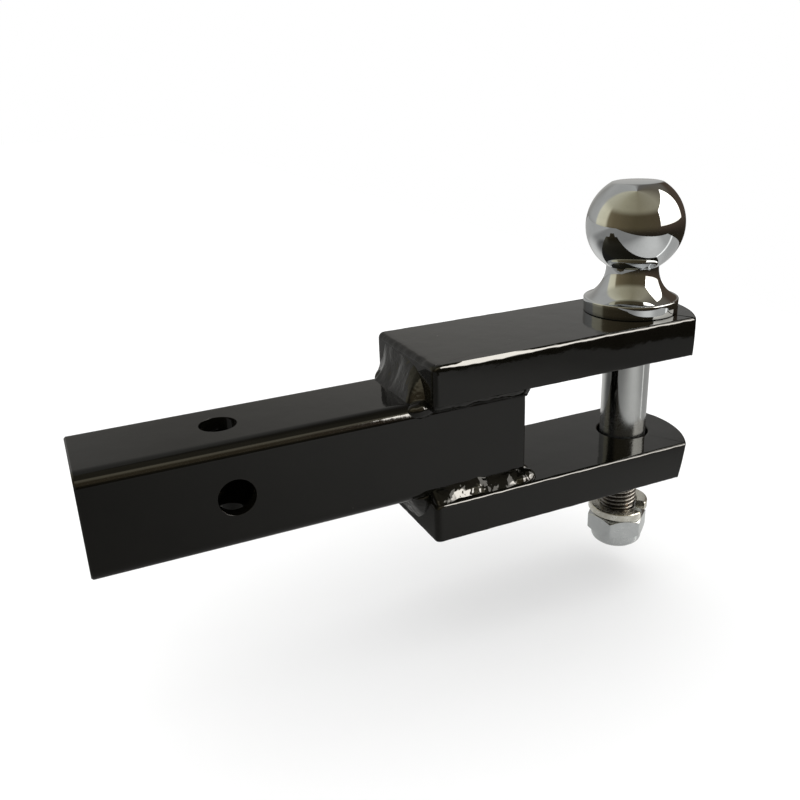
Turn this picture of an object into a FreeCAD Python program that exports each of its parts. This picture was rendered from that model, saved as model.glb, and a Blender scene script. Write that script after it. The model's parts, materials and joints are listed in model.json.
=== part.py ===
import FreeCAD, Part
import math
import os

# Ball mount with hitch ball: a square shank tube welded between two clevis plates,
# and a drop-in ball pin held below by a spring washer and a lock nut.
# Origin: where the two hitch-pin holes cross on the tube's axis.
# +X runs from the tube's free end towards the ball, +Z is up. Sizes are in millimetres.

# Shank tube
tube_size = 50.0
tube_wall = 6.0
tube_corner_radius = 6.5
tube_inner_radius = 2.0
tube_length = 208.5
tube_end_chamfer = 0.8
hitch_hole_diameter = 17.0
hitch_hole_from_end = 63.5

# Clevis plates: flat bar, with a flame-cut nose that leans in towards its lower edge
plate_length = 163.5
plate_width = 65.0
plate_thickness = 20.0
plate_overlap = 53.5
plate_edge_radius = 2.2
nose_depth = 12.0
nose_edge = 1.2
upper_nose_lean = 3.0
lower_nose_lean = 8.0
pin_from_nose = 29.5
pin_hole_clearance = 1.5

# Weld beads
weld_root = 2.5
weld_toe_sink = 0.8
weld_margin = 0.6
weld_ripple_pitch = 7.0
weld_ripple = 0.14
weld_end_scale = 0.6
side_weld_tube_leg = 5.5
side_weld_bulge = 1.0
side_weld_wrap = 4.0
inner_weld_plate_leg = 15.0
inner_weld_tube_leg = 8.0
inner_weld_hollow = 1.8
outer_weld_plate_leg = 6.5
outer_weld_bulge = 0.5

# Ball pin
ball_diameter = 50.0
ball_flat_diameter = 25.0
ball_rise = 45.2
neck_diameter = 27.0
flange_diameter = 49.2
flange_thickness = 7.3
flange_edge = 0.7
flare_radius = 18.0
shaft_diameter = 25.0
shoulder_inset = 2.0
thread_diameter = 20.0
thread_length = 51.0
pin_end_chamfer = 1.5

# Lock nut with its nylon ring
nut_drop = 31.8
nut_across_flats = 30.0
nut_hex_height = 10.9
nut_chamfer_angle = 30.0
nut_height = 17.7
nut_corner_turn = 43.0
collar_diameter = 28.4
collar_round = 3.6
collar_bevels = 3
thread_clearance = 0.1
insert_diameter = 25.4
insert_height = 3.6
insert_cover = 1.2
insert_mouth_diameter = 22.6

# Split spring washer
washer_inner_diameter = 21.0
washer_outer_diameter = 33.2
washer_thickness = 4.9
washer_edge = 0.8
washer_rise = 4.6
washer_gap_angle = 12.0
washer_split_turn = 292.0
washer_seat_gap = 0.15

# Places that follow from the sizes above
tube_half = tube_size / 2
tube_start = -hitch_hole_from_end
tube_end = tube_start + tube_length
tube_flat_half = tube_half - tube_corner_radius
plate_inner_end = tube_end - plate_overlap
plate_nose = plate_inner_end + plate_length
plate_half_width = plate_width / 2
nose_radius = (plate_half_width ** 2 + nose_depth ** 2) / (2 * nose_depth)
plate_outer = tube_half + plate_thickness
pin_x = plate_nose - pin_from_nose
shoulder_z = -plate_outer + shoulder_inset
thread_end_z = shoulder_z - thread_length
nut_top_z = -plate_outer - nut_drop
nut_bottom_z = nut_top_z - nut_height

origin = FreeCAD.Vector(0, 0, 0)
x_axis = FreeCAD.Vector(1, 0, 0)
y_axis = FreeCAD.Vector(0, 1, 0)
z_axis = FreeCAD.Vector(0, 0, 1)
pin_axis = FreeCAD.Vector(pin_x, 0, 0)


def line(start, end):
    return Part.LineSegment(start, end).toShape()


def arc(start, middle, end):
    return Part.Arc(start, middle, end).toShape()


def closed_wire(points):
    """Straight-sided wire through the points and back to the first."""
    return Part.makePolygon(points + points[:1])


def turned(edges, centre_x):
    """Solid of revolution about the upright line at centre_x, from a closed half-section in the XZ plane."""
    solid = Part.Face(Part.Wire(edges)).revolve(origin, z_axis, 360)
    solid.translate(FreeCAD.Vector(centre_x, 0, 0))
    return solid


def profile_point(radius, height):
    return FreeCAD.Vector(radius, 0, height)


def edges_where(shape, test):
    return [edge for edge in shape.Edges if test(edge.BoundBox)]


def square_bar(size):
    return Part.makeBox(tube_length, size, size, FreeCAD.Vector(tube_start, -size / 2, -size / 2))


def rounded_bar(size, radius):
    bar = square_bar(size)
    return bar.makeFillet(radius, edges_where(bar, lambda box: box.XLength > tube_length / 2))


def shank_tube():
    bar = rounded_bar(tube_size, tube_corner_radius)
    end_edges = edges_where(bar, lambda box: box.XLength < tube_end_chamfer)
    tube = bar.makeChamfer(tube_end_chamfer, end_edges)
    tube = tube.cut(rounded_bar(tube_size - 2 * tube_wall, tube_inner_radius))
    for axis in (y_axis, z_axis):
        tube = tube.cut(Part.makeCylinder(hitch_hole_diameter / 2, 2 * tube_size, axis * -tube_size, axis))
    return tube


def plate_blank(bottom_z, length, height):
    corner = FreeCAD.Vector(plate_inner_end, -plate_half_width, bottom_z)
    return Part.makeBox(length, plate_width, height, corner)


def clevis_plate(bottom_z, lean):
    """Flat bar with a round nose; the nose's foot is drawn in by the lean of the cut."""
    stock = plate_blank(bottom_z, 2 * plate_length, plate_thickness)

    def worn(box):
        """True for the stock's four long edges and for the level and upright edges of its inner end."""
        return box.XLength > plate_length or box.XMax < plate_nose

    stock = stock.makeFillet(plate_edge_radius, edges_where(stock, worn))

    top_z = bottom_z + plate_thickness
    foot_radius = nose_radius - plate_thickness * math.tan(math.radians(lean))
    nose = turned(closed_wire([
        profile_point(0, bottom_z),
        profile_point(foot_radius - nose_edge, bottom_z),
        profile_point(foot_radius, bottom_z + nose_edge),
        profile_point(nose_radius, top_z - nose_edge),
        profile_point(nose_radius - nose_edge, top_z),
        profile_point(0, top_z),
    ]).Edges, plate_nose - nose_radius)
    straight = plate_blank(bottom_z, plate_length - nose_radius, plate_thickness)
    plate = stock.common(straight.fuse(nose)).removeSplitter()

    hole_radius = shaft_diameter / 2 + pin_hole_clearance
    hole_foot = FreeCAD.Vector(pin_x, 0, bottom_z - plate_thickness)
    return plate.cut(Part.makeCylinder(hole_radius, 3 * plate_thickness, hole_foot))


def weld_section(plate_way, tube_way, plate_leg, tube_leg, bulge):
    """Fillet section about the corner between plate and tube, with its toes and root sunk into both."""
    outward = (plate_way + tube_way).normalize()
    crown = (plate_way * plate_leg + tube_way * tube_leg) * 0.5 + outward * bulge
    plate_toe = plate_way * plate_leg - tube_way * weld_toe_sink
    tube_toe = tube_way * tube_leg - plate_way * weld_toe_sink
    root = (plate_way + tube_way) * -weld_root
    return [tube_toe, crown, plate_toe, root]


def flat_sided_solid(rings):
    """Solid through matching rings of points, capped at both ends, all of whose faces are flat."""
    loops = [rings[0], rings[-1]]
    for near, far in zip(rings, rings[1:]):
        for index in range(len(near)):
            loops.append([near[index - 1], near[index], far[index], far[index - 1]])
    shell = Part.Shell([Part.Face(closed_wire(loop)) for loop in loops])
    shell.sewShape()
    solid = Part.Solid(shell)
    if solid.Volume < 0:
        solid.reverse()
    return solid


def weld_bead(start, run, section, trims):
    """Rippled bead along a straight run, trimmed to the faces of the pieces that it joins."""
    steps = 2 * max(2, round(run.Length / weld_ripple_pitch))
    ribs = []
    for step in range(steps + 1):
        ripples_from_end = min(step, steps - step) / 2
        end_loss = (1 - weld_end_scale) * max(0, 1 - ripples_from_end) ** 2
        scale = 1 - end_loss + weld_ripple / 2 * (-1) ** step
        corner = start + run * (step / steps)
        ribs.append([corner + point * scale for point in section])
    return flat_sided_solid(ribs).cut(trims)


def plate_welds(side, name):
    """The four beads round one plate's seat; side is +1 above the tube and -1 below it."""
    seat_z = side * tube_half
    plate = plate_blank(min(seat_z, side * plate_outer), plate_length, plate_thickness)
    bar = rounded_bar(tube_size, tube_corner_radius)
    beads = {}

    overhang = plate_half_width - tube_half
    side_plate_leg = overhang - plate_edge_radius - weld_margin
    side_start = plate_inner_end + weld_root + plate_edge_radius
    side_run = x_axis * (tube_end + side_weld_wrap - side_start)
    for word, way in (("front", -1), ("back", 1)):
        start = FreeCAD.Vector(side_start, way * tube_half, seat_z)
        section = weld_section(y_axis * way, z_axis * -side, side_plate_leg, side_weld_tube_leg, side_weld_bulge)
        beads[f"{name}_{word}_weld"] = weld_bead(start, side_run, section, [bar, plate])

    # The inner bead runs out on the tube's rounded corners, where they have dropped by the end toe's sink.
    end_sink = weld_toe_sink * weld_end_scale
    run_out = math.sqrt(tube_corner_radius ** 2 - (tube_corner_radius - end_sink) ** 2)
    inner_half = tube_flat_half + run_out
    clevis_zone = plate_blank(-plate_outer, plate_length, 2 * plate_outer)
    start = FreeCAD.Vector(plate_inner_end, -inner_half, seat_z)
    section = weld_section(
        z_axis * side, x_axis * -1, inner_weld_plate_leg, inner_weld_tube_leg, -inner_weld_hollow)
    beads[f"{name}_inner_weld"] = weld_bead(start, y_axis * (2 * inner_half), section, [bar, clevis_zone])

    outer_half = tube_flat_half - weld_margin
    start = FreeCAD.Vector(tube_end, -outer_half, seat_z)
    section = weld_section(
        x_axis, z_axis * -side, outer_weld_plate_leg, tube_wall - weld_margin, outer_weld_bulge)
    beads[f"{name}_outer_weld"] = weld_bead(
        start, y_axis * (2 * outer_half), section, [square_bar(tube_size), plate])
    return beads


def ball_pin():
    """Ball, flared neck, flange, plain shaft and thread, turned from one bar."""
    ball_radius = ball_diameter / 2
    flat_radius = ball_flat_diameter / 2
    neck_radius = neck_diameter / 2
    flange_radius = flange_diameter / 2
    shaft_radius = shaft_diameter / 2
    thread_radius = thread_diameter / 2
    seat_z = plate_outer
    ball_z = seat_z + ball_rise
    flat_z = ball_z + math.sqrt(ball_radius ** 2 - flat_radius ** 2)
    neck_z = ball_z - math.sqrt(ball_radius ** 2 - neck_radius ** 2)
    flange_z = seat_z + flange_thickness

    # The flare is an arc that bows in from the chord between the neck and the flange's rim.
    flare_top = profile_point(neck_radius, neck_z)
    flare_foot = profile_point(flange_radius - 2 * flange_edge, flange_z)
    chord = flare_foot - flare_top
    sag = flare_radius - math.sqrt(flare_radius ** 2 - (chord.Length / 2) ** 2)
    inward = FreeCAD.Vector(chord.z, 0, -chord.x).normalize()
    flare_middle = (flare_top + flare_foot) * 0.5 + inward * sag

    corners = [
        profile_point(flange_radius - flange_edge, flange_z),
        profile_point(flange_radius, flange_z - flange_edge),
        profile_point(flange_radius, seat_z + flange_edge),
        profile_point(flange_radius - flange_edge, seat_z),
        profile_point(shaft_radius, seat_z),
        profile_point(shaft_radius, shoulder_z + pin_end_chamfer),
        profile_point(shaft_radius - pin_end_chamfer, shoulder_z),
        profile_point(thread_radius, shoulder_z),
        profile_point(thread_radius, thread_end_z + pin_end_chamfer),
        profile_point(thread_radius - pin_end_chamfer, thread_end_z),
        profile_point(0, thread_end_z),
        profile_point(0, flat_z),
        profile_point(flat_radius, flat_z),
    ]
    edges = [arc(profile_point(flat_radius, flat_z), profile_point(ball_radius, ball_z), flare_top)]
    edges.append(arc(flare_top, flare_middle, flare_foot))
    edges.append(line(flare_foot, corners[0]))
    edges += [line(first, second) for first, second in zip(corners, corners[1:])]
    return turned(edges, pin_x)


def lock_nut():
    """Hexagon with chamfered corners above a round collar that is crimped over the nylon ring."""
    flat_radius = nut_across_flats / 2
    corner_radius = flat_radius / math.cos(math.radians(30))
    chamfer_drop = (corner_radius - flat_radius) * math.tan(math.radians(nut_chamfer_angle))
    hex_foot_z = nut_top_z - nut_hex_height
    collar_radius = collar_diameter / 2
    mouth_radius = insert_mouth_diameter / 2
    bore_radius = thread_diameter / 2 + thread_clearance

    corners = []
    for count in range(6):
        angle = math.radians(nut_corner_turn + 60 * count)
        corners.append(FreeCAD.Vector(corner_radius * math.cos(angle), corner_radius * math.sin(angle), hex_foot_z))
    hexagon = Part.Face(closed_wire(corners)).extrude(z_axis * nut_hex_height)
    hexagon.translate(pin_axis)
    envelope = turned(closed_wire([
        profile_point(0, nut_top_z),
        profile_point(flat_radius, nut_top_z),
        profile_point(corner_radius, nut_top_z - chamfer_drop),
        profile_point(corner_radius, hex_foot_z + chamfer_drop),
        profile_point(flat_radius, hex_foot_z),
        profile_point(0, hex_foot_z),
    ]).Edges, pin_x)

    # The collar's shoulder rolls in towards the mouth in bevels that follow a quarter circle.
    section = [profile_point(0, nut_top_z), profile_point(0, nut_bottom_z)]
    for step in range(collar_bevels + 1):
        angle = math.radians(90) * step / collar_bevels
        section.append(profile_point(
            collar_radius - collar_round * (1 - math.sin(angle)), nut_bottom_z + collar_round * (1 - math.cos(angle))))
    section.append(profile_point(collar_radius, nut_top_z - chamfer_drop))
    collar = turned(closed_wire(section).Edges, pin_x)
    nut = hexagon.common(envelope).fuse(collar).removeSplitter()

    def hole(radius, foot_z, height):
        return Part.makeCylinder(radius, height, FreeCAD.Vector(pin_x, 0, foot_z))

    nut = nut.cut(hole(bore_radius, nut_bottom_z - nut_height, 3 * nut_height))
    nut = nut.cut(hole(mouth_radius, nut_bottom_z - insert_cover, 2 * insert_cover))
    return nut.cut(hole(insert_diameter / 2, nut_bottom_z + insert_cover, insert_height))


def nylon_insert():
    foot = FreeCAD.Vector(pin_x, 0, nut_bottom_z + insert_cover)
    ring = Part.makeCylinder(insert_diameter / 2, insert_height, foot)
    return ring.cut(Part.makeCylinder(thread_diameter / 2 + thread_clearance, insert_height, foot))


def spring_washer():
    """One left-handed turn of squarish wire, open at the split, with its low end on the nut."""
    inner = washer_inner_diameter / 2
    outer = washer_outer_diameter / 2
    half = washer_thickness / 2
    turn = 360 - washer_gap_angle
    pitch = washer_rise * 360 / turn
    path = Part.Wire(Part.makeHelix(pitch, washer_rise, (inner + outer) / 2, 0, True))
    section = closed_wire([
        profile_point(inner + washer_edge, -half),
        profile_point(outer - washer_edge, -half),
        profile_point(outer, washer_edge - half),
        profile_point(outer, half - washer_edge),
        profile_point(outer - washer_edge, half),
        profile_point(inner + washer_edge, half),
        profile_point(inner, half - washer_edge),
        profile_point(inner, washer_edge - half),
    ])
    washer = path.makePipeShell([section], True, True)
    washer.rotate(origin, z_axis, washer_split_turn - washer_gap_angle / 2)
    lift = nut_top_z + washer_seat_gap - washer.BoundBox.ZMin
    washer.translate(FreeCAD.Vector(pin_x, 0, lift))
    return washer


def main():
    nodes = {"shank_tube": shank_tube()}
    nodes["upper_plate"] = clevis_plate(tube_half, upper_nose_lean)
    nodes["lower_plate"] = clevis_plate(-plate_outer, lower_nose_lean)
    nodes.update(plate_welds(1, "upper"))
    nodes.update(plate_welds(-1, "lower"))
    nodes["ball_pin"] = ball_pin()
    nodes["spring_washer"] = spring_washer()
    nodes["lock_nut"] = lock_nut()
    nodes["nylon_insert"] = nylon_insert()

    os.makedirs("parts", exist_ok=True)
    for name, shape in nodes.items():
        shape.exportStep(f"parts/{name}.step")
        print(name, "solids", len(shape.Solids), "valid", shape.isValid(), "volume", round(shape.Volume, 1))


main()
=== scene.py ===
import bmesh
import bpy
import json
import math
from mathutils import Matrix, Vector, noise


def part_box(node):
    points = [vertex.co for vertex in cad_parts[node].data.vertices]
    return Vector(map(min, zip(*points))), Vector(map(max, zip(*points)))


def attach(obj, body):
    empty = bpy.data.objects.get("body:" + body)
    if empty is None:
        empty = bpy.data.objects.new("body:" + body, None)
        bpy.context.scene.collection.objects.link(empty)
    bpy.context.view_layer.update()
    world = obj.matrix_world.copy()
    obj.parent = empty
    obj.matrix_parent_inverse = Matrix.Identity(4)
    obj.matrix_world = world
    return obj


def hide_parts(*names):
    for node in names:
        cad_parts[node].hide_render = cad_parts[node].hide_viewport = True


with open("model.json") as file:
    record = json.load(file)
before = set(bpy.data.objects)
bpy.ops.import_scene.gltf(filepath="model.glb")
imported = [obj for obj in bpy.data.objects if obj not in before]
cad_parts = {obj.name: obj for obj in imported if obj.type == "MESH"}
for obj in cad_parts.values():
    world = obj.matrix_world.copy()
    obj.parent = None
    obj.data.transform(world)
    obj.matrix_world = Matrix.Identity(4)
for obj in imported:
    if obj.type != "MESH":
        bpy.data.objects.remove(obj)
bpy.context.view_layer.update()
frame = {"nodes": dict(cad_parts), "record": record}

# Looks of a ball mount: gloss black paint on a welded frame, a chromed ball pin, a zinc washer and lock nut.
# Lengths are in metres, and mm turns a size in millimetres into them.
mm = 0.001

# Places taken from the frame
tube_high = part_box("shank_tube")[1]
upper_low, upper_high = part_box("upper_plate")
lower_low, lower_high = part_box("lower_plate")
pin_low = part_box("ball_pin")[0]
washer_low, washer_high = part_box("spring_washer")
nut_low, nut_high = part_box("lock_nut")
mounts = {mount["name"]: mount for mount in frame["record"]["mounts"]}
ball_centre = Vector(mounts["tow_ball"]["pos_m"])
pin_x = ball_centre.x
tube_half = tube_high.y
tube_end = tube_high.x
plate_half = upper_high.y
plate_top = upper_high.z
inner_end = upper_low.x
nose = upper_high.x

# Tube
tube_edge = 0.5 * mm
tube_sharp_angle = math.radians(50)
tube_flat_angle = math.radians(0.4)
same_place = 0.001 * mm

# Plates
top_edge = 1.25 * mm
foot_edge = 0.9 * mm
end_edge_growth = 1.3
worn_edge_growth = 0.45
worn_edge_slope = 0.43
edge_wobble = 0.14
edge_wobble_size = 7 * mm
edge_wobble_fineness = 3.1
edge_wobble_shift = 50 * mm
plate_corner = 3.0 * mm
nose_corner = 1.0 * mm
nose_edge_share = 0.6
nose_depth = 12.0 * mm
upper_lean = 3.0
lower_lean = 8.0
side_crown = 0.35 * mm
face_dent = 0.08 * mm
face_dent_size = 11 * mm
face_ring_shares = (0.02, 0.06, 0.14, 0.26, 0.4, 0.55, 0.7, 0.85, 0.95)
pin_hole_radius = 14.0 * mm
pin_hole_edge = 0.6 * mm
pin_hole_rim = 1.5 * mm
nose_radius = (plate_half ** 2 + nose_depth ** 2) / (2 * nose_depth)
nose_axis_x = nose - nose_radius

# Fronts of the plates: how far the top leans back, and how flat the top edge is worn, by share of the length
upper_front_lean = [(0.0, 0.1 * mm), (0.45, 0.5 * mm), (0.6, 1.1 * mm), (1.0, 1.3 * mm)]
upper_edge_wear = [(0.0, 0.1), (0.04, 0.5), (0.10, 0.95), (0.16, 1.0),
                   (0.26, 0.93), (0.36, 0.6), (0.6, 0.2), (1.0, 0.1)]
lower_front_lean = [(0.0, 0.0), (1.0, 0.0)]
lower_edge_wear = [(0.0, 0.1), (1.0, 0.1)]

# Paint, with a painted highlight: more reflective paint on slopes that face the front, by the way the surface
# faces
paint_ior = 1.36
painted_highlight_ior = 2.35
highlight_front = (-0.80, -0.40)
highlight_slope_start = (0.20, 0.32)
highlight_slope_end = (0.55, 0.64)

# Ball pin
ball_radius = mounts["tow_ball"]["dims"]["r_mm"] * mm
flat_radius = 12.5 * mm
flat_rim = 0.7 * mm
flat_centre = 0.5 * mm
neck_radius = 13.5 * mm
flare_radius = 18.0 * mm
flare_inset = 1.2 * mm
flange_radius = 24.6 * mm
flange_thickness = 7.3 * mm
flange_edge = 0.55 * mm
flange_taper = 0.12 * mm
shaft_radius = mounts["clevis_jaw"]["dims"]["r_mm"] * mm
shoulder_z = -43.0 * mm
shoulder_chamfer = 1.5 * mm
shoulder_upper_round = 0.4 * mm
shoulder_lower_round = 0.3 * mm
pin_run = 2.0 * mm

# Rolled thread
thread_radius = 9.95 * mm
thread_depth = 1.3 * mm
thread_pitch = 2.5 * mm
thread_flank = 2.6
thread_root = 0.12
thread_overlap = 0.2 * mm
thread_lead_in = 1.6 * mm
thread_end_crest = 0.05

# Lock nut
nut_flat_radius = 15.0 * mm
nut_corner_turn = math.radians(39)
nut_corner_cut = 0.12 * mm
nut_corner_blunt = 0.08 * mm
hex_height = 10.9 * mm
nut_chamfer = math.radians(30)
nut_chamfer_inset = 0.15 * mm
nut_chamfer_blunt = 0.05 * mm
collar_radius = 14.2 * mm
collar_round = 3.6 * mm
nut_mouth_radius = 11.3 * mm
nut_mouth_edge = 0.5 * mm
nut_mouth_depth = 1.1 * mm
nut_bore_radius = 10.1 * mm
nut_bore_start = 1.3 * mm
nut_bore_chamfer = 1.0 * mm

# Split washer
washer_inner = 10.5 * mm
washer_outer = 16.6 * mm
washer_thickness = 4.9 * mm
washer_edge = 1.0 * mm
washer_gap = math.radians(12)
washer_split = math.radians(292)
washer_end_shrink = 0.10

# Weld beads
bead_step = 0.8 * mm
bead_points = 14
bead_root = 2.0 * mm
bead_sink = 0.8 * mm
bead_end_length = 4.0 * mm
bead_end_scale = 0.5
bead_swell = 0.12
bead_swell_length = 10.0 * mm
skin_size = 0.42 * mm
skin_relax_rounds = 4
skin_relax = 0.5
lump_size = 5.0 * mm
lump_height = 0.20 * mm
wrinkle_size = 1.4 * mm
wrinkle_height = 0.07 * mm

# Inner beads, in mm: legs on the plate's end and on the tube, and bulge, by place across the tube
inner_plate_leg = [(-23.0, 3.5), (-21.0, 6.5), (-18.5, 10.0), (-15.5, 13.0), (-11.5, 15.4), (-6.0, 16.6),
                   (31.0, 17.0)]
inner_tube_leg = [(-23.0, 5.0), (-18.0, 7.2), (0.0, 7.8), (18.0, 8.0), (23.0, 4.6), (31.0, 1.6)]
inner_bulge = [(-23.0, 0.4), (-19.0, 0.9), (-12.0, 0.8), (-6.0, 0.0), (2.0, -1.5), (31.0, -2.2)]

# Runs over the tube's corners, in mm: place off the plate's end, across and off the tube, then three radii
back_run = ((-1.5, 23.0, -1.5), (4.4, 3.4, 4.6))
front_run = ((-2.2, -22.8, -3.2), (7.6, 3.5, 4.4))

# Gas pit in the upper inner bead, in mm: place, radius and depth
gas_pit = ((-1.6, -9.5, 9.8), 1.8, 0.7)

# Side beads: legs on the plate and on the tube in mm, by share of the run
upper_plate_leg = [(0.0, 5.8), (0.5, 6.4), (1.0, 6.2)]
upper_tube_leg = [(0.0, 5.0), (1.0, 5.4)]
upper_side_bulge = 1.2 * mm
lower_plate_leg = [(0.0, 6.6), (0.16, 6.2), (0.22, 4.4), (0.50, 4.6),
                   (0.56, 5.6), (0.80, 5.9), (0.86, 4.9), (1.0, 6.0)]
lower_tube_leg = [(0.0, 5.2), (0.16, 5.4), (0.22, 5.8), (0.50, 5.8), (0.56, 5.3), (1.0, 5.2)]
lower_side_bulge = 0.4 * mm
side_bead_start = 1.0 * mm
side_bead_stop = 2.0 * mm

# Lumps at the tube's end corners, in mm: places past the end, out from the side and off the plate.
# The upper lump is the hull of its places, and each lower mound has three radii as well.
upper_lump = [(-5.0, 4.0, -1.0), (3.8, 1.0, -1.0), (3.2, -4.0, -1.0), (0.4, 0.2, 6.5),
              (-4.0, 0.4, 5.0), (0.4, -3.0, 5.0), (-5.0, -2.0, -1.0)]
lower_mounds = [((0.4, 0.4, -1.2), (5.2, 5.0, 6.2)), ((-4.0, 2.0, -1.2), (4.4, 4.2, 5.4))]

# Outer beads: legs on the plate and on the tube, and bulge
outer_bead_inset = 2.5 * mm
outer_bead_legs = (6.2 * mm, 5.4 * mm, 1.3 * mm)

# Floor, and what the bright parts mirror of it: painted shade and a painted strip of light
floor_z = -112 * mm
floor_left, floor_right, floor_front, floor_back = -4.0, 0.74, -0.60, 5.0
floor_back_painted_shade = 0.60
shade_spot = (0.0, 0.17, floor_z)
strip_bearing = math.radians(-34)
strip_light = 2.6

# Room and soft box
fill_light = 1.3
window_radiance = 5.0
window_bearing = math.radians(-10)
window_reach = 1.5
window_foot = 0.36
window_rise = 0.45
window_rise_power = 1.3
window_border = 0.08
window_border_power = 2.0
window_left, window_right = -1.73, 0.18
window_low, window_high = 0.03, 1.245

# Camera
camera_place = Vector((-0.063226, -0.347220, 0.166092))
camera_yaw, camera_pitch, camera_roll = 0.41294, -0.36968, -0.04026
camera_lens = 37.593
camera_sensor = 36.0


class Graph:
    """Adds nodes to the tree of a material, a light or the world."""

    def __init__(self, tree):
        self.tree = tree

    def add(self, kind, sockets, **settings):
        made = self.tree.nodes.new(kind)
        for name, value in settings.items():
            setattr(made, name, value)
        for name, value in sockets.items():
            self.feed(made.inputs[name], value)
        return made

    def feed(self, socket, value):
        """Links a node's output to the socket, or sets a plain value on it."""
        if isinstance(value, bpy.types.NodeSocket):
            self.tree.links.new(value, socket)
        else:
            socket.default_value = value

    def math(self, operation, *values):
        made = self.add("ShaderNodeMath", {}, operation=operation)
        for socket, value in zip(made.inputs, values):
            self.feed(socket, value)
        return made.outputs[0]

    def vector(self, operation, output, *values):
        made = self.add("ShaderNodeVectorMath", {}, operation=operation)
        for socket, value in zip(made.inputs, values):
            self.feed(socket, value)
        return made.outputs[output]

    def parts(self, vector):
        return self.add("ShaderNodeSeparateXYZ", {"Vector": vector}).outputs

    def noise(self, place, scale, detail=2.0, roughness=0.5):
        sockets = {"Vector": place, "Scale": scale, "Detail": detail, "Roughness": roughness}
        return self.add("ShaderNodeTexNoise", sockets).outputs["Fac"]

    def fade(self, value, start, end, low=0.0, high=1.0):
        """Runs smoothly from low to high while the value goes from start to end."""
        sockets = {"Value": value, "From Min": start, "From Max": end, "To Min": low, "To Max": high}
        return self.add("ShaderNodeMapRange", sockets, interpolation_type="SMOOTHSTEP").outputs["Result"]

    def blend(self, share, first, second):
        """Mixes two colours."""
        made = self.add("ShaderNodeMix", {}, data_type="RGBA")
        self.feed(made.inputs["Factor"], share)
        for name, value in (("A", first), ("B", second)):
            socket = [s for s in made.inputs if s.name == name and s.type == "RGBA"][0]
            self.feed(socket, value)
        return [s for s in made.outputs if s.type == "RGBA"][0]

    def bump(self, height, depth, below=None):
        """Relief of a depth in metres, on top of the relief below it."""
        sockets = {"Height": height, "Distance": depth, "Strength": 1.0}
        if below is not None:
            sockets["Normal"] = below
        return self.add("ShaderNodeBump", sockets).outputs["Normal"]


def dress(graph, shader, **sockets):
    """Feeds the shader's sockets, each named with _ for a space."""
    for name, value in sockets.items():
        graph.feed(shader.inputs[name.replace("_", " ")], value)


def new_material(name, **constants):
    """A material with one main shader; the constants are set on the shader's own sockets."""
    material = bpy.data.materials.new(name)
    material.use_nodes = True
    graph = Graph(material.node_tree)
    shader = material.node_tree.nodes["Principled BSDF"]
    dress(graph, shader, **constants)
    place = graph.add("ShaderNodeTexCoord", {}).outputs["Object"]
    return material, graph, shader, place


def shade(red, green, blue):
    """An opaque colour."""
    return (red, green, blue, 1.0)


def paint_material():
    """Gloss black paint: slow waves, orange peel, a few pits, specks of dust, and a painted highlight: edges
    that face the front and up are made more reflective.
    """
    material, graph, shader, place = new_material("black_paint")
    facing = graph.parts(graph.add("ShaderNodeNewGeometry", {}).outputs["Normal"])
    # Painted highlight: the paint reflects more where the surface faces the front and slopes up
    painted_highlight = graph.fade(facing["Y"], *highlight_front, 1.0, 0.0)
    painted_highlight = graph.math("MULTIPLY", painted_highlight, graph.fade(facing["Z"], *highlight_slope_start, 0.0, 1.0))
    painted_highlight = graph.math("MULTIPLY", painted_highlight, graph.fade(facing["Z"], *highlight_slope_end, 1.0, 0.0))
    cloud = graph.noise(place, 55, 3)
    peel = graph.noise(place, 620, 2)
    grain = graph.noise(place, 2600, 2)
    cells = graph.add("ShaderNodeTexVoronoi", {"Vector": place, "Scale": 95.0, "Randomness": 1.0})
    spot = graph.fade(cells.outputs["Distance"], 0.035, 0.060, 1.0, 0.0)
    dust = graph.math("MULTIPLY", spot, graph.fade(graph.noise(place, 41), 0.62, 0.66))
    pit = graph.math("MULTIPLY", spot, graph.fade(graph.noise(place, 37), 0.40, 0.36))
    coat = graph.blend(cloud, shade(0.0017, 0.0016, 0.0011), shade(0.0034, 0.0031, 0.0022))
    rough = graph.fade(cloud, 0.3, 0.7, 0.045, 0.085)
    waves = graph.bump(cloud, 0.16 * mm)
    pits = graph.bump(graph.math("SUBTRACT", 1.0, pit), 0.05 * mm, waves)
    skin = graph.bump(peel, 0.010 * mm, pits)
    dress(graph, shader,
          Base_Color=graph.blend(dust, coat, shade(0.10, 0.095, 0.085)),
          IOR=graph.fade(painted_highlight, 0.0, 1.0, paint_ior, painted_highlight_ior),
          Roughness=graph.math("ADD", rough, graph.math("MULTIPLY", dust, 0.4)),
          Normal=graph.bump(grain, 0.0012 * mm, skin))
    return material


def chrome_material():
    """Bright plating with faint haze, and a duller shaft that grows grainy towards its foot."""
    material, graph, shader, place = new_material("chrome", Metallic=1.0)
    height = graph.parts(place)["Z"]
    dull = graph.fade(height, 30 * mm, 40 * mm, 1.0, 0.0)
    worn = graph.fade(height, -30 * mm, 12 * mm, 1.0, 0.0)
    haze = graph.noise(place, 160, 4)
    grain = graph.noise(place, 3200, 3)
    bright = graph.blend(graph.fade(haze, 0.35, 0.7), shade(0.66, 0.68, 0.69), shade(0.62, 0.64, 0.65))
    satin = graph.blend(haze, shade(0.44, 0.45, 0.45), shade(0.53, 0.54, 0.53))
    rough = graph.fade(haze, 0.3, 0.75, 0.018, 0.045)
    rough = graph.math("ADD", rough, graph.math("MULTIPLY", dull, 0.05))
    grainy = graph.math("MULTIPLY", worn, graph.fade(grain, 0.35, 0.7, 0.06, 0.34))
    waves = graph.bump(graph.noise(place, 70, 1), 0.01 * mm)
    dress(graph, shader,
          Base_Color=graph.blend(dull, bright, satin),
          Roughness=graph.math("ADD", rough, grainy),
          Normal=graph.bump(graph.math("MULTIPLY", grain, worn), 0.022 * mm, waves))
    return material


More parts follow.
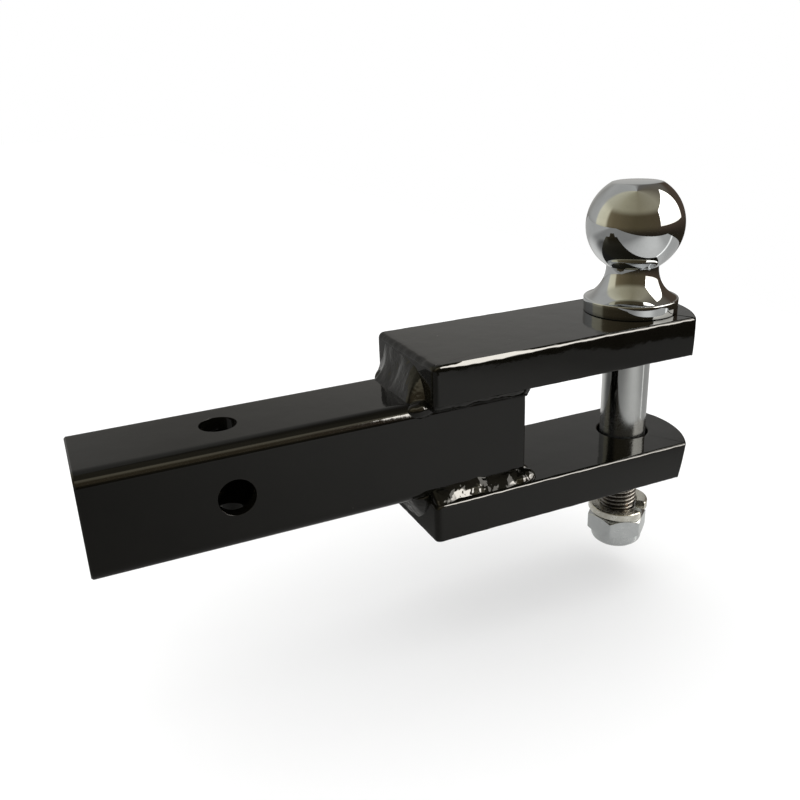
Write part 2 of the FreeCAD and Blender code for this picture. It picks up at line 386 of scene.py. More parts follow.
def thread_material():
    """Plain rolled steel with painted shade in the roots of the thread, and a rust bloom."""
    material, graph, shader, place = new_material("thread_steel", Metallic=1.0)
    bloom = graph.fade(graph.noise(place, 110, 5, 0.6), 0.56, 0.70)
    grain = graph.noise(place, 1400, 3)
    from_axis = graph.vector("SUBTRACT", "Vector", place, (pin_x, 0, 0))
    level = graph.vector("MULTIPLY", "Vector", from_axis, (1, 1, 0))
    radius = graph.vector("LENGTH", "Value", level)
    crest = graph.fade(radius, thread_radius - 0.8 * thread_depth, thread_radius - 0.15 * thread_depth)
    steel = graph.blend(grain, shade(0.30, 0.285, 0.27), shade(0.42, 0.405, 0.38))
    # Painted shade: the steel is darker towards the thread's roots
    steel = graph.blend(crest, shade(0.045, 0.038, 0.032), steel)
    dress(graph, shader,
          Base_Color=graph.blend(graph.math("MULTIPLY", bloom, 0.5), steel, shade(0.30, 0.17, 0.09)),
          Roughness=graph.fade(grain, 0.3, 0.7, 0.22, 0.40),
          Normal=graph.bump(grain, 0.01 * mm))
    return material


def zinc_material(name, dull, bright, low_rough, high_rough):
    """Zinc plate: cloudy tone, scuffs and a fine pressed grain."""
    material, graph, shader, place = new_material(name, Metallic=1.0)
    cloud = graph.noise(place, 240, 4, 0.6)
    grain = graph.noise(place, 2100, 3)
    scuff = graph.fade(graph.noise(place, 700, 5, 0.7), 0.58, 0.70)
    rough = graph.fade(cloud, 0.3, 0.7, low_rough, high_rough)
    dress(graph, shader,
          Base_Color=graph.blend(graph.fade(cloud, 0.3, 0.7), dull, bright),
          Roughness=graph.math("ADD", rough, graph.math("MULTIPLY", scuff, 0.08)),
          Normal=graph.bump(grain, 0.003 * mm, graph.bump(cloud, 0.004 * mm)))
    return material


def nylon_material():
    """Milky nylon, a little cloudy."""
    material, graph, shader, place = new_material("nylon", IOR=1.5)
    cloud = graph.noise(place, 300, 3)
    dress(graph, shader,
          Base_Color=graph.blend(cloud, shade(0.70, 0.69, 0.63), shade(0.82, 0.81, 0.77)),
          Roughness=graph.fade(cloud, 0.3, 0.7, 0.35, 0.5),
          Normal=graph.bump(graph.noise(place, 1500), 0.01 * mm))
    return material


def floor_material():
    """Pale board. Mirrors see it darker than the camera does: shaded to the left, at the back and under the
    mount, with one strip of light that runs out to the right of the pin."""
    material, graph, shader, place = new_material("floor", Roughness=0.7, Specular_IOR_Level=0.0)
    cloud = graph.noise(place, 6, 3)
    pale = graph.blend(cloud, shade(0.90, 0.90, 0.90), shade(0.92, 0.92, 0.915))
    mirrored = graph.blend(cloud, shade(0.56, 0.555, 0.54), shade(0.60, 0.595, 0.58))
    parts = graph.parts(place)
    from_left = graph.fade(parts["X"], -0.12, 0.24, 0.36, 1.0)
    to_right = graph.fade(parts["X"], 0.28, 0.50, 1.0, 0.62)
    in_front = graph.fade(parts["Y"], 0.35, 0.7, 1.0, 0.0)
    at_back = graph.fade(parts["Y"], 0.35, 0.7, 0.0, floor_back_painted_shade)
    light = graph.math("MULTIPLY", graph.math("MULTIPLY", from_left, to_right), in_front)
    light = graph.math("ADD", light, at_back)
    near = graph.vector("DISTANCE", "Value", place, shade_spot)
    light = graph.math("MULTIPLY", light, graph.fade(near, 0.05, 0.20, 0.35, 1.0))
    bearing = graph.math("ARCTAN2", parts["Y"], graph.math("SUBTRACT", parts["X"], pin_x))
    off_strip = graph.math("ABSOLUTE", graph.math("SUBTRACT", bearing, strip_bearing))
    light = graph.math("MULTIPLY", light, graph.fade(off_strip, 0.03, 0.07, strip_light, 1.0))
    scaled = graph.add("ShaderNodeVectorMath", {0: mirrored, "Scale": light}, operation="SCALE")
    ray = graph.add("ShaderNodeLightPath", {}).outputs
    dress(graph, shader, Base_Color=graph.blend(ray["Is Glossy Ray"], pale, scaled.outputs["Vector"]))
    return material


def add_piece(name, mesh, material, body, nodes, smooth_angle):
    """Puts a finished mesh in the scene as a piece that rides on a body and stands for CAD nodes."""
    mesh.materials.clear()
    mesh.materials.append(material)
    mesh.shade_smooth()
    mesh.set_sharp_from_angle(angle=math.radians(smooth_angle))
    piece = bpy.data.objects.new(name, mesh)
    bpy.context.scene.collection.objects.link(piece)
    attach(piece, body)
    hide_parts(*nodes)
    return piece


def mesh_from(name, points, faces):
    """Mesh with all its faces turned outwards."""
    mesh = bpy.data.meshes.new(name)
    mesh.from_pydata([tuple(point) for point in points], [], faces)
    mesh.validate()
    work = bmesh.new()
    work.from_mesh(mesh)
    bmesh.ops.recalc_face_normals(work, faces=work.faces)
    work.to_mesh(mesh)
    work.free()
    return mesh


def grid_faces(rows, columns, rows_closed):
    """Quads of a grid whose columns close on themselves, and its rows too where that is asked for."""
    faces = []
    for row in range(rows if rows_closed else rows - 1):
        here = row * columns
        after = (row + 1) % rows * columns
        for column in range(columns):
            beside = (column + 1) % columns
            faces.append((here + column, here + beside, after + beside, after + column))
    return faces


def lathe_mesh(name, rings, rows_closed=False):
    """Closed mesh from rings of points; open ends are capped by a fan."""
    rows, columns = len(rings), len(rings[0])
    points = [point for ring in rings for point in ring]
    faces = grid_faces(rows, columns, rows_closed)
    if not rows_closed:
        for row in (0, rows - 1):
            centre = len(points)
            points.append(sum((Vector(point) for point in rings[row]), Vector()) / columns)
            for column in range(columns):
                faces.append((row * columns + column, row * columns + (column + 1) % columns, centre))
    return mesh_from(name, points, faces)


def turned(vector, angle):
    """A flat vector turned by an angle."""
    return Vector((vector.x * math.cos(angle) - vector.y * math.sin(angle),
                   vector.x * math.sin(angle) + vector.y * math.cos(angle)))


def rounded_line(corners, steps=5):
    """Polyline through (x, y, radius) corners, with an arc of that radius at each."""
    line = []
    for index, (x, y, radius) in enumerate(corners):
        here = Vector((x, y))
        if radius == 0 or index in (0, len(corners) - 1):
            line.append(here)
            continue
        back = (Vector(corners[index - 1][:2]) - here).normalized()
        ahead = (Vector(corners[index + 1][:2]) - here).normalized()
        half = back.angle(ahead) / 2
        reach = radius / math.tan(half)
        centre = here + (back + ahead).normalized() * (radius / math.sin(half))
        start = here + back * reach - centre
        turn = math.pi - 2 * half
        way = 1 if start.cross(here + ahead * reach - centre) > 0 else -1
        line += [centre + turned(start, way * turn * step / steps) for step in range(steps + 1)]
    return line


def spaced(line, step):
    """The same polyline with long runs divided, so that no run is longer than the step."""
    out = [line[0]]
    for first, second in zip(line, line[1:]):
        parts = max(1, math.ceil((second - first).length / step))
        out += [first.lerp(second, (part + 1) / parts) for part in range(parts)]
    return out


def between(place, stops):
    """Value at a place, on straight runs between (place, value) stops."""
    for (start, first), (end, second) in zip(stops, stops[1:]):
        if place <= end:
            share = max(0.0, (place - start) / (end - start))
            return first + (second - first) * share
    return stops[-1][1]


def softly_least(first, second, softness):
    """The lesser of two values, with a soft change from one to the other."""
    return -softness * math.log(math.exp(-first / softness) + math.exp(-second / softness))


def round_pin(radius, angle, height):
    """Place at a radius and a bearing about the pin's axis."""
    return (pin_x + radius * math.cos(angle), radius * math.sin(angle), height)


def turn_rings(line, columns, start_angle=0.0):
    """Rings about the pin's axis for each (radius, height) on the line."""
    rings = []
    for radius, height in line:
        angles = [start_angle + 2 * math.pi * column / columns for column in range(columns)]
        rings.append([round_pin(radius, angle, height) for angle in angles])
    return rings


def ball_line():
    """Outline of the ball from the middle of its flat down to the neck, as (radius, height)."""
    flat_rise = math.sqrt(ball_radius ** 2 - flat_radius ** 2)
    neck_drop = math.sqrt(ball_radius ** 2 - neck_radius ** 2)
    flat_z = ball_centre.z + flat_rise
    start = math.asin(flat_rise / ball_radius) - flat_rim / ball_radius
    end = math.asin(-neck_drop / ball_radius)
    line = [Vector((flat_centre, flat_z)), Vector((flat_radius - flat_rim, flat_z))]
    steps = 90
    for step in range(steps + 1):
        angle = start + (end - start) * step / steps
        line.append(Vector((ball_radius * math.cos(angle), ball_centre.z + ball_radius * math.sin(angle))))
    return line


def flare_line(top, foot):
    """Arc between neck and flange that bows in from its chord."""
    chord = foot - top
    outward = Vector((-chord.y, chord.x)).normalized()
    rise = math.sqrt(flare_radius ** 2 - (chord.length / 2) ** 2)
    centre = (top + foot) / 2 + outward * rise
    turn = (top - centre).angle_signed(foot - centre)
    steps = 44
    return [centre + turned(top - centre, -turn * step / steps) for step in range(1, steps)]


def ball_pin_piece(material):
    """Ball, neck, flange and shaft, turned as one outline."""
    seat_z = plate_top
    flange_z = seat_z + flange_thickness
    neck_z = ball_centre.z - math.sqrt(ball_radius ** 2 - neck_radius ** 2)
    foot = Vector((flange_radius - flare_inset, flange_z))
    line = ball_line() + flare_line(Vector((neck_radius, neck_z)), foot)
    line += spaced(rounded_line([
        (foot.x, foot.y, 0),
        (flange_radius, flange_z, flange_edge),
        (flange_radius - flange_taper, seat_z, flange_edge),
        (shaft_radius, seat_z, 0),
        (shaft_radius, shoulder_z + shoulder_chamfer, shoulder_upper_round),
        (shaft_radius - shoulder_chamfer, shoulder_z, shoulder_lower_round),
        (thread_radius - thread_depth, shoulder_z, 0),
    ]), pin_run)
    mesh = lathe_mesh("ball_pin_body", turn_rings(line, 160))
    add_piece("ball_pin_body", mesh, material, "pin", ["ball_pin"], 40)


def thread_piece(material):
    """Right-hand thread: the crest climbs by one pitch in each turn."""
    columns = 120
    rows_per_pitch = 14
    rows = math.ceil((shoulder_z - pin_low.z) / thread_pitch * rows_per_pitch)
    top = shoulder_z + thread_overlap
    rings = []
    for row in range(rows + 1):
        height = top + (pin_low.z - top) * row / rows
        lead_in = min(1.0, (height - pin_low.z) / thread_lead_in + thread_end_crest)
        ring = []
        for column in range(columns):
            angle = 2 * math.pi * column / columns
            phase = (height / thread_pitch - angle / (2 * math.pi)) % 1.0
            crest = min(1.0, max(0.0, thread_flank * abs(phase - 0.5) - thread_root))
            crest = crest * crest * (3 - 2 * crest)
            ring.append(round_pin(thread_radius - thread_depth * (1 - crest * lead_in), angle, height))
        rings.append(ring)
    mesh = lathe_mesh("ball_pin_thread", rings)
    add_piece("ball_pin_thread", mesh, material, "pin", ["ball_pin"], 60)


def lock_nut_piece(material):
    """Hexagon with turned chamfers on both ends and a crimped collar below, as one ring-shaped mesh."""
    columns = 240
    hex_rows = 36
    top, foot = nut_high.z, nut_low.z
    hex_foot = top - hex_height
    side_turn = math.pi / 3

    def hex_radius(angle):
        from_flat = (angle - nut_corner_turn) % side_turn - side_turn / 2
        sharp = nut_flat_radius / math.cos(from_flat)
        most = nut_flat_radius / math.cos(side_turn / 2) - nut_corner_cut
        return softly_least(sharp, most, nut_corner_blunt)

    def chamfer_radius(height):
        from_end = min(top - height, height - hex_foot)
        return nut_flat_radius - nut_chamfer_inset + from_end / math.tan(nut_chamfer)

    rings = []
    for row in range(hex_rows + 1):
        height = top - hex_height * (0.5 - 0.5 * math.cos(math.pi * row / hex_rows))
        ring = []
        for column in range(columns):
            angle = nut_corner_turn + 2 * math.pi * column / columns
            radius = softly_least(hex_radius(angle), chamfer_radius(height), nut_chamfer_blunt)
            ring.append(round_pin(radius, angle, height))
        rings.append(ring)
    collar = rounded_line([
        (collar_radius, hex_foot, 0),
        (collar_radius, foot, collar_round),
        (nut_mouth_radius, foot, nut_mouth_edge),
        (nut_mouth_radius, foot + nut_mouth_depth, 0),
        (nut_bore_radius, foot + nut_bore_start, 0),
    ], 9)
    bore = [(nut_bore_radius, top - nut_bore_chamfer), (nut_bore_radius + nut_bore_chamfer, top)]
    rings += turn_rings(collar, columns, nut_corner_turn)
    rings += turn_rings(bore, columns, nut_corner_turn)
    mesh = lathe_mesh("lock_nut_shell", rings, rows_closed=True)
    add_piece("lock_nut_shell", mesh, material, "nut", ["lock_nut"], 50)


def spring_washer_piece(material):
    """One left-handed turn of squarish wire, cut square at the split."""
    half_width = (washer_outer - washer_inner) / 2
    half_height = washer_thickness / 2
    rise = washer_high.z - washer_low.z - washer_thickness
    section = rounded_line([
        (-half_width, 0, 0),
        (-half_width, -half_height, washer_edge),
        (half_width, -half_height, washer_edge),
        (half_width, half_height, washer_edge),
        (-half_width, half_height, washer_edge),
        (-half_width, 0, 0),
    ])[:-1]
    steps = 150
    rings = []
    for step in range(steps + 1):
        share = step / steps
        angle = washer_split - washer_gap / 2 - (2 * math.pi - washer_gap) * share
        middle = washer_low.z + half_height + rise * share
        from_end = min(step, steps - step)
        shrink = 1 - washer_end_shrink * max(0.0, 1 - from_end / 2) ** 2
        ring = []
        for across, up in section:
            radius = (washer_inner + washer_outer) / 2 + across * shrink
            ring.append(round_pin(radius, angle, middle + up * shrink))
        rings.append(ring)
    mesh = lathe_mesh("spring_washer_coil", rings)
    add_piece("spring_washer_coil", mesh, material, "washer", ["spring_washer"], 50)


def plate_outline(round_radius):
    """Points round a plate seen from above and the way out at each, with round corners and a round nose."""
    blend_y = plate_half - nose_corner
    blend_x = nose_axis_x + math.sqrt((round_radius - nose_corner) ** 2 - blend_y ** 2)
    nose_turn = math.atan2(blend_y, blend_x - nose_axis_x)
    corner_x = inner_end + plate_corner
    corner_y = plate_half - plate_corner
    quarter = math.pi / 2
    corner_steps, nose_steps, side_steps, end_steps = 8, 64, 150, 70

    # Each arc: middle, radius, first and last bearing, steps on it and steps on the straight that follows
    arcs = [
        (corner_x, -corner_y, plate_corner, -2 * quarter, -quarter, corner_steps, side_steps),
        (blend_x, -blend_y, nose_corner, -quarter, -nose_turn, corner_steps, 0),
        (nose_axis_x, 0.0, round_radius, -nose_turn, nose_turn, nose_steps, 0),
        (blend_x, blend_y, nose_corner, nose_turn, quarter, corner_steps, side_steps),
        (corner_x, corner_y, plate_corner, quarter, 2 * quarter, corner_steps, end_steps),
    ]

    def on_arc(arc, share):
        x, y, radius, start, end = arc[:5]
        angle = start + (end - start) * share
        way = Vector((math.cos(angle), math.sin(angle)))
        return Vector((x, y)) + way * radius, way

    outline = []
    for arc, after in zip(arcs, arcs[1:] + arcs[:1]):
        steps, straight = arc[5:]
        outline += [on_arc(arc, step / steps) for step in range(steps)]
        last, way = on_arc(arc, 1.0)
        following = on_arc(after, 0.0)[0]
        outline += [(last.lerp(following, step / straight), way) for step in range(straight)]
    return outline


def plate_piece(node, low_z, high_z, lean, front_lean, edge_wear, material):
    """Flat bar with crowned sides, worn edges, a pin hole and a round nose that leans in below."""
    thickness = high_z - low_z
    upper_line = plate_outline(nose_radius)
    lower_line = plate_outline(nose_radius - thickness * math.tan(math.radians(lean)))
    hole_centre = Vector((pin_x, 0.0))

    def edge_ring(level, rounding):
        """Ring round the plate. Level is 0 on the lower edge, 1 on the upper one and a share of the side
        between. Rounding runs from 0 at the side to 1 at the flat face."""
        ring = []
        angle = rounding * math.pi / 2
        for (high, way), (low, _) in zip(upper_line, lower_line):
            along = (high.x - inner_end) / (nose - inner_end)
            is_front = max(0.0, -way.y)
            worn = between(along, edge_wear) * is_front if level == 1 else 0.0
            grown = 1 + end_edge_growth * max(0.0, -way.x) + worn_edge_growth * worn
            steady = top_edge * grown if level == 1 else foot_edge
            if way.x > 0.5:
                steady *= nose_edge_share
            spot = Vector((high.x, high.y, level * edge_wobble_shift)) / edge_wobble_size
            wobble = 2 * noise.noise(spot) + noise.noise(spot * edge_wobble_fineness)
            size = steady * (1 + edge_wobble * wobble)
            depth = size * (1 - math.cos(angle)) * (1 - worn) + steady * worn_edge_slope * rounding * worn
            drop = size * ((1 - math.sin(angle)) * (1 - worn) + (1 - rounding) * worn)
            share = (drop + (thickness - 2 * drop) * level) / thickness
            dent = noise.noise(Vector((high.x, high.y, share * thickness)) / face_dent_size)
            depth += side_crown * abs(way.y) * (2 * share - 1) ** 2
            depth += between(along, front_lean) * is_front * share
            depth += face_dent * (0.5 + 0.5 * dent)
            place = low.lerp(high, share) - way * depth
            ring.append((place.x, place.y, low_z + share * thickness))
        return ring

    def face_rings(height, rim):
        """Rings on the plate's flat face, from its rim to the hole's edge."""
        rings = []
        for share in face_ring_shares:
            ring = []
            for x, y, _ in rim:
                place = Vector((x, y))
                near = hole_centre + (place - hole_centre).normalized() * (pin_hole_radius + pin_hole_rim)
                spot = place.lerp(near, share)
                ring.append((spot.x, spot.y, height))
            rings.append(ring)
        return rings

    rounds = 8
    sides = 9
    foot = [edge_ring(0, 1 - step / rounds) for step in range(rounds + 1)]
    side = [edge_ring(step / sides, 0) for step in range(1, sides)]
    crown = [edge_ring(1, step / rounds) for step in range(rounds + 1)]
    rings = face_rings(low_z, foot[0])[::-1] + foot + side + crown + face_rings(high_z, crown[-1])
    hole_line = rounded_line([
        (pin_hole_radius + pin_hole_rim, high_z, 0),
        (pin_hole_radius, high_z, pin_hole_edge),
        (pin_hole_radius, low_z, pin_hole_edge),
        (pin_hole_radius + pin_hole_rim, low_z, 0),
    ], 4)
    bearings = [(place - hole_centre).normalized() for place, _ in upper_line]
    for radius, height in hole_line:
        rings.append([(pin_x + radius * way.x, radius * way.y, height) for way in bearings])
    name = f"{node}_body"
    mesh = lathe_mesh(name, rings, rows_closed=True)
    add_piece(name, mesh, material, "welded_frame", [node], 30)


def shank_piece(material):
    """The tube, with its hole rims and cut ends softened."""
    mesh = frame["nodes"]["shank_tube"].data.copy()
    work = bmesh.new()
    work.from_mesh(mesh)
    bmesh.ops.remove_doubles(work, verts=work.verts, dist=same_place)
    bmesh.ops.dissolve_limit(work, angle_limit=tube_flat_angle, verts=work.verts, edges=work.edges)
    inner_edges = [edge for edge in work.edges if len(edge.link_faces) == 2]
    sharp = [edge for edge in inner_edges if edge.calc_face_angle() > tube_sharp_angle]
    bmesh.ops.bevel(work, geom=sharp, offset=tube_edge, offset_type="OFFSET", segments=3, profile=0.5,
                    affect="EDGES", clamp_overlap=True)
    work.to_mesh(mesh)
    work.free()
    if "custom_normal" in mesh.attributes:
        mesh.attributes.remove(mesh.attributes["custom_normal"])
    piece = add_piece("shank_tube_body", mesh, material, "welded_frame", ["shank_tube"], 30)
    piece.modifiers.new("even_normals", "WEIGHTED_NORMAL").keep_sharp = True


def bead_mesh(start, run, plate_way, tube_way, legs, seed):
    """A bead in the corner between plate and tube, with its root and toes sunk in both.
    Legs gives the plate leg, the tube leg and the bulge at a share of the run."""
    steps = math.ceil(run.length / bead_step)
    outward = (plate_way + tube_way).normalized()
    rings = []
    for step in range(steps + 1):
        share = step / steps
        along = share * run.length
        corner = start + run * share
        ending = 1 - min(1.0, min(along, run.length - along) / bead_end_length)
        scale = bead_end_scale + (1 - bead_end_scale) * math.sqrt(1 - ending ** 2)
        scale *= 1 + bead_swell * noise.noise(Vector((along / bead_swell_length, seed, 0)))
        plate_leg, tube_leg, bulge = (scale * value for value in legs(share))
        ring = [corner - (plate_way + tube_way) * bead_root,
                corner + tube_way * (tube_leg + bead_sink) - plate_way * bead_sink]
        for count in range(bead_points + 1):
            part = count / bead_points
            place = corner + tube_way * (tube_leg * (1 - part)) + plate_way * (plate_leg * part)
            ring.append(place + outward * (bulge * 4 * part * (1 - part)))
        ring.append(corner + plate_way * (plate_leg + bead_sink) - tube_way * bead_sink)
        rings.append(ring)
    return lathe_mesh("bead", rings)


def hull_mesh(points):
    """The smallest closed skin round the points."""
    work = bmesh.new()
    for point in points:
        work.verts.new(point)
    made = bmesh.ops.convex_hull(work, input=work.verts)
    inside = [part for part in made["geom_interior"] if isinstance(part, bmesh.types.BMVert)]
    bmesh.ops.delete(work, geom=inside, context="VERTS")
    mesh = bpy.data.meshes.new("hull")
    work.to_mesh(mesh)
    work.free()
    return mesh


def blob_mesh(centre, radii):
    """An ellipsoid with radii in mm, as rings from pole to pole."""
    rows, columns = 16, 24
    wide, deep, tall = (radius * mm for radius in radii)
    rings = []
    for row in range(1, rows):
        polar = math.pi * row / rows
        ring = []
        for column in range(columns):
            angle = 2 * math.pi * column / columns
            ring.append(centre + Vector((wide * math.sin(polar) * math.cos(angle),
                                         deep * math.sin(polar) * math.sin(angle), tall * math.cos(polar))))
        rings.append(ring)
    return lathe_mesh("blob", rings)


def melted_mesh(name, shells):
    """One smooth skin round all the shells."""
    joined = bmesh.new()
    for shell in shells:
        joined.from_mesh(shell)
        bpy.data.meshes.remove(shell)
    rough_mesh = bpy.data.meshes.new("rough")
    joined.to_mesh(rough_mesh)
    joined.free()
    draft = bpy.data.objects.new("draft", rough_mesh)
    bpy.context.scene.collection.objects.link(draft)
    melt = draft.modifiers.new("melt", "REMESH")
    melt.mode = "VOXEL"
    melt.voxel_size = skin_size
    relax = draft.modifiers.new("relax", "SMOOTH")
    relax.iterations = skin_relax_rounds
    relax.factor = skin_relax
    state = bpy.context.evaluated_depsgraph_get()
    mesh = bpy.data.meshes.new_from_object(draft.evaluated_get(state))
    mesh.name = name
    bpy.data.objects.remove(draft)
    bpy.data.meshes.remove(rough_mesh)
    return mesh


def weld_piece(name, shells, material, seed, pit=None):
    """Melts the shells into one skin with lumps and wrinkles, which stands in place of the plain bead."""
    mesh = melted_mesh(name, shells)
    offsets = []
    for vertex in mesh.vertices:
        spot = vertex.co + Vector((seed, 0, 0))
        rise = lump_height * noise.noise(spot / lump_size) + wrinkle_height * noise.noise(spot / wrinkle_size)
        if pit is not None:
            centre, radius, depth = pit
            rise -= depth * max(0.0, 1 - (vertex.co - centre).length / radius)
        offsets.append(vertex.normal * rise)
    for vertex, offset in zip(mesh.vertices, offsets):
        vertex.co += offset
    node = name.replace("_bead", "_weld")
    add_piece(name, mesh, material, "welded_frame", [node], 180)


def side_bead(level, side, place, way, material):
    """Bead along the tube's side, with a lump that turns round the tube's end."""
    is_upper = level == "upper"
    seat_z = side * tube_half
    seed = side * 3 + way
    plate_legs = upper_plate_leg if is_upper else lower_plate_leg
    tube_legs = upper_tube_leg if is_upper else lower_tube_leg
    bulge = upper_side_bulge if is_upper else lower_side_bulge

    def legs(share):
        return between(share, plate_legs) * mm, between(share, tube_legs) * mm, bulge

    def corner(x, out, off_plate):
        return Vector((tube_end + x * mm, way * (tube_half + out * mm), seat_z - side * off_plate * mm))

    start = Vector((inner_end + side_bead_start, way * tube_half, seat_z))
    run = Vector((tube_end - side_bead_stop - start.x, 0, 0))
    shells = [bead_mesh(start, run, Vector((0, way, 0)), Vector((0, 0, -side)), legs, seed)]
    if is_upper:
        shells.append(hull_mesh([corner(*spot) for spot in upper_lump]))
    else:
        shells += [blob_mesh(corner(*spot), radii) for spot, radii in lower_mounds]
    weld_piece(f"{level}_{place}_bead", shells, material, seed)


def inner_bead(level, side, material):
    """Hollow film of weld up the plate's end, fuller at the front, with runs over the tube's corners."""
    seat_z = side * tube_half
    seed = 11 + side
    first, last = inner_plate_leg[0][0], inner_plate_leg[-1][0]

    def legs(share):
        across = first + (last - first) * share
        return [between(across, stops) * mm for stops in (inner_plate_leg, inner_tube_leg, inner_bulge)]

    def spot(x, y, rise):
        return Vector((inner_end + x * mm, y * mm, seat_z + side * rise * mm))

    start = Vector((inner_end, first * mm, seat_z))
    run = Vector((0, (last - first) * mm, 0))
    shells = [bead_mesh(start, run, Vector((0, 0, side)), Vector((-1, 0, 0)), legs, seed)]
    runs = [back_run]
    pit = None
    if level == "upper":
        runs.append(front_run)
        pit_place, pit_radius, pit_depth = gas_pit
        pit = (spot(*pit_place), pit_radius * mm, pit_depth * mm)
    shells += [blob_mesh(spot(*place), radii) for place, radii in runs]
    weld_piece(f"{level}_inner_bead", shells, material, seed, pit)


def outer_bead(level, side, material):
    """Bead across the tube's end, inside the jaw."""
    seed = 21 + side
    reach = tube_half - outer_bead_inset

    def legs(_):
        return outer_bead_legs

    start = Vector((tube_end, -reach, side * tube_half))
    run = Vector((0, 2 * reach, 0))
    shells = [bead_mesh(start, run, Vector((1, 0, 0)), Vector((0, 0, -side)), legs, seed)]
    weld_piece(f"{level}_outer_bead", shells, material, seed)


def weld_pieces(material):
    """Four beads for each plate."""
    for level, side in (("upper", 1), ("lower", -1)):
        side_bead(level, side, "front", -1, material)
        side_bead(level, side, "back", 1, material)
        inner_bead(level, side, material)
        outer_bead(level, side, material)


def build_floor():
    """One pale board."""
    places = ((floor_left, floor_front), (floor_right, floor_front),
              (floor_right, floor_back), (floor_left, floor_back))
    mesh = bpy.data.meshes.new("floor")
    mesh.from_pydata([(x, y, floor_z) for x, y in places], [], [(0, 1, 2, 3)])
    mesh.materials.append(floor_material())
    floor = bpy.data.objects.new("floor", mesh)
    bpy.context.scene.collection.objects.link(floor)


def bearing_ramp(graph, bearing, stops):
    """Colours by bearing, from -180 to 180 degrees."""
    made = graph.add("ShaderNodeValToRGB", {"Fac": bearing})
    elements = made.color_ramp.elements
    for index, (degrees, colour) in enumerate(stops):
        position = (degrees + 180) / 360
        stop = elements[index] if index < 2 else elements.new(position)
        stop.position = position
        stop.color = colour
    return made.outputs["Color"]


def build_world():
    """White for the camera, plain soft light for the floor, and a quiet room for what is mirrored."""
    world = bpy.data.worlds.new("studio")
    bpy.context.scene.world = world
    world.use_nodes = True
    world.node_tree.nodes.clear()
    graph = Graph(world.node_tree)
    parts = graph.parts(graph.add("ShaderNodeTexCoord", {}).outputs["Generated"])
    bearing = graph.math("ARCTAN2", parts["Y"], parts["X"])
    bearing = graph.math("DIVIDE", graph.math("ADD", bearing, math.pi), 2 * math.pi)
    walls = bearing_ramp(graph, bearing, [
        (-180, shade(0.15, 0.12, 0.07)), (-130, shade(0.09, 0.072, 0.04)), (-75, shade(0.09, 0.07, 0.042)),
        (-68, shade(0.08, 0.056, 0.04)), (40, shade(0.08, 0.06, 0.045)), (47, shade(0.47, 0.465, 0.45)),
        (62, shade(0.48, 0.47, 0.445)), (82, shade(0.34, 0.33, 0.31)), (100, shade(0.42, 0.415, 0.40)),
        (126, shade(0.50, 0.495, 0.48)), (131, shade(0.78, 0.74, 0.57)), (158, shade(0.70, 0.65, 0.48)),
        (165, shade(0.20, 0.165, 0.10)), (180, shade(0.15, 0.12, 0.07)),
    ])
    ceiling = bearing_ramp(graph, bearing, [
        (-180, shade(0.40, 0.37, 0.26)), (-120, shade(0.28, 0.25, 0.17)), (-60, shade(0.34, 0.31, 0.23)),
        (-10, shade(0.15, 0.13, 0.10)), (40, shade(0.15, 0.14, 0.13)), (66, shade(0.46, 0.455, 0.44)),
        (122, shade(0.44, 0.435, 0.42)), (134, shade(0.58, 0.55, 0.42)), (180, shade(0.40, 0.37, 0.265)),
    ])
    foot = shade(0.025, 0.020, 0.014)
    room = graph.blend(graph.fade(parts["Z"], 0.42, 0.66), walls, ceiling)
    room = graph.blend(graph.fade(parts["Z"], -0.28, 0.06), foot, room)
    ray = graph.add("ShaderNodeLightPath", {}).outputs
    seen = graph.blend(ray["Is Glossy Ray"], shade(fill_light, fill_light, fill_light), room)
    seen = graph.blend(ray["Is Camera Ray"], seen, shade(1.0, 1.0, 1.0))
    backdrop = graph.add("ShaderNodeBackground", {"Color": seen, "Strength": 1.0})
    graph.add("ShaderNodeOutputWorld", {"Surface": backdrop.outputs["Background"]})


def window_glow(graph, level, half_width):
    """Brightness over the soft box: dim at its foot, and soft along its sides and top."""
    place = graph.add("ShaderNodeNewGeometry", {}).outputs["Position"]
    height = graph.parts(place)["Z"]
    low, high = (ball_centre.z + share * window_reach for share in (window_low, window_high))
    rise_end = (1 - window_rise) * low + window_rise * high
    glow = graph.math("POWER", graph.fade(height, low, rise_end), window_rise_power)
    glow = graph.math("ADD", graph.math("MULTIPLY", glow, 1 - window_foot), window_foot)
    along = graph.vector("DOT_PRODUCT", "Value", place, level)
    middle = ball_centre.dot(level) + window_reach * (window_left + window_right) / 2
    off_middle = graph.math("ABSOLUTE", graph.math("SUBTRACT", along, middle))
    for value, border in ((off_middle, half_width), (height, high)):
        soft = graph.fade(value, border - window_border, border, 1.0, 0.0)
        glow = graph.math("MULTIPLY", glow, graph.math("POWER", soft, window_border_power))
    return glow


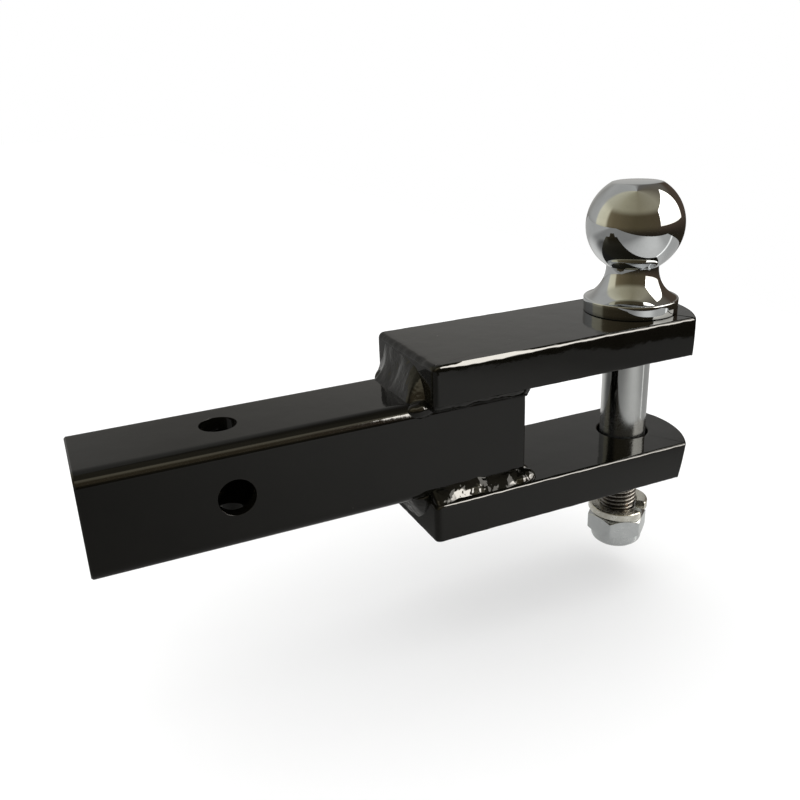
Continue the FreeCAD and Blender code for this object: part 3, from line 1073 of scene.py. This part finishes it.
def build_window():
    """An upright soft box to the right, for the bright pane on the chrome and the lines along the edges."""
    facing = Vector((math.cos(window_bearing), math.sin(window_bearing), 0))
    level = Vector((-facing.y, facing.x, 0))
    up = Vector((0, 0, 1))
    light = bpy.data.lights.new("soft_box", "AREA")
    light.shape = "RECTANGLE"
    light.size = (window_right - window_left) * window_reach
    light.size_y = (window_high - window_low) * window_reach
    light.color = (1.0, 0.96, 0.88)
    light.energy = window_radiance * math.pi * light.size * light.size_y
    light.use_nodes = True
    light.node_tree.nodes.clear()
    graph = Graph(light.node_tree)
    lamp = graph.add("ShaderNodeEmission", {"Strength": window_glow(graph, level, light.size / 2)})
    graph.add("ShaderNodeOutputLight", {"Surface": lamp.outputs["Emission"]})
    box = bpy.data.objects.new("soft_box", light)
    sideways = level * ((window_left + window_right) / 2)
    upwards = up * ((window_low + window_high) / 2)
    box.location = ball_centre + (facing + sideways + upwards) * window_reach
    box.rotation_euler = Matrix((level, up, facing)).transposed().to_euler()
    box.visible_diffuse = False
    box.visible_camera = False
    bpy.context.scene.collection.objects.link(box)


def build_camera():
    """Camera at the photograph's place, a little above the mount and to its left."""
    ahead = Vector((math.sin(camera_yaw) * math.cos(camera_pitch),
                    math.cos(camera_yaw) * math.cos(camera_pitch), math.sin(camera_pitch)))
    level = Vector((math.cos(camera_yaw), -math.sin(camera_yaw), 0))
    up = level.cross(ahead)
    right = level * math.cos(camera_roll) + up * math.sin(camera_roll)
    top = up * math.cos(camera_roll) - level * math.sin(camera_roll)
    data = bpy.data.cameras.new("camera")
    data.sensor_width = camera_sensor
    data.lens = camera_lens
    camera = bpy.data.objects.new("camera", data)
    bpy.context.scene.collection.objects.link(camera)
    turn = Matrix((right, top, -ahead)).transposed().to_4x4()
    camera.matrix_world = Matrix.Translation(camera_place) @ turn
    bpy.context.scene.camera = camera


def main():
    """The pieces, then the floor, the light and the camera."""
    paint = paint_material()
    nut_zinc = zinc_material("nut_zinc", shade(0.54, 0.56, 0.565), shade(0.59, 0.61, 0.615), 0.20, 0.25)
    washer_zinc = zinc_material("washer_zinc", shade(0.56, 0.54, 0.47), shade(0.72, 0.71, 0.65), 0.18, 0.30)
    ball_pin_piece(chrome_material())
    thread_piece(thread_material())
    lock_nut_piece(nut_zinc)
    spring_washer_piece(washer_zinc)
    insert = frame["nodes"]["nylon_insert"]
    insert.data.materials.clear()
    insert.data.materials.append(nylon_material())
    plate_piece("upper_plate", upper_low.z, upper_high.z, upper_lean,
                upper_front_lean, upper_edge_wear, paint)
    plate_piece("lower_plate", lower_low.z, lower_high.z, lower_lean,
                lower_front_lean, lower_edge_wear, paint)
    shank_piece(paint)
    weld_pieces(paint)
    build_floor()
    build_world()
    build_window()
    build_camera()
    bpy.context.scene.view_settings.view_transform = "Standard"


main()
